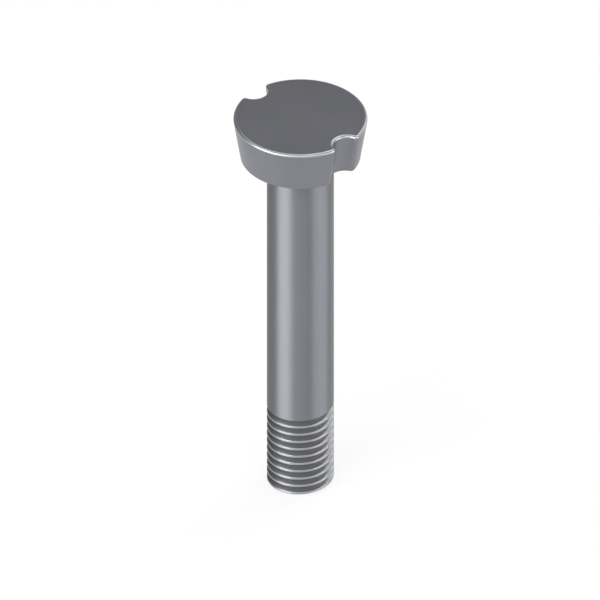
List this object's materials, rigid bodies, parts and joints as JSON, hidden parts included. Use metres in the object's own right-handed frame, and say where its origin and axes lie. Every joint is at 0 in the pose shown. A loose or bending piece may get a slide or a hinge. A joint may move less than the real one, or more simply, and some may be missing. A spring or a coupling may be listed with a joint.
{
  "type": "t slot bolt",
  "caption": "T-slot bolt in one piece: a tapered round head with half-round notches cut in opposite sides, a plain cylindrical shank, and a coarse right-hand thread at the far end.",
  "frame": {"origin": "centre of the flat end face at the threaded end, which the bolt stands on", "axes": "+Z along the bolt's axis, from the threaded end to the head; the head's notches are on the +X and -X sides"},
  "size_m": [0.0368, 0.038, 0.1251],
  "materials": {
    "steel": "bare machined steel, satin, with no plating and no wear"
  },
  "bodies": {
    "root": {"t_slot_bolt": "steel"}
  },
  "joints": []
}
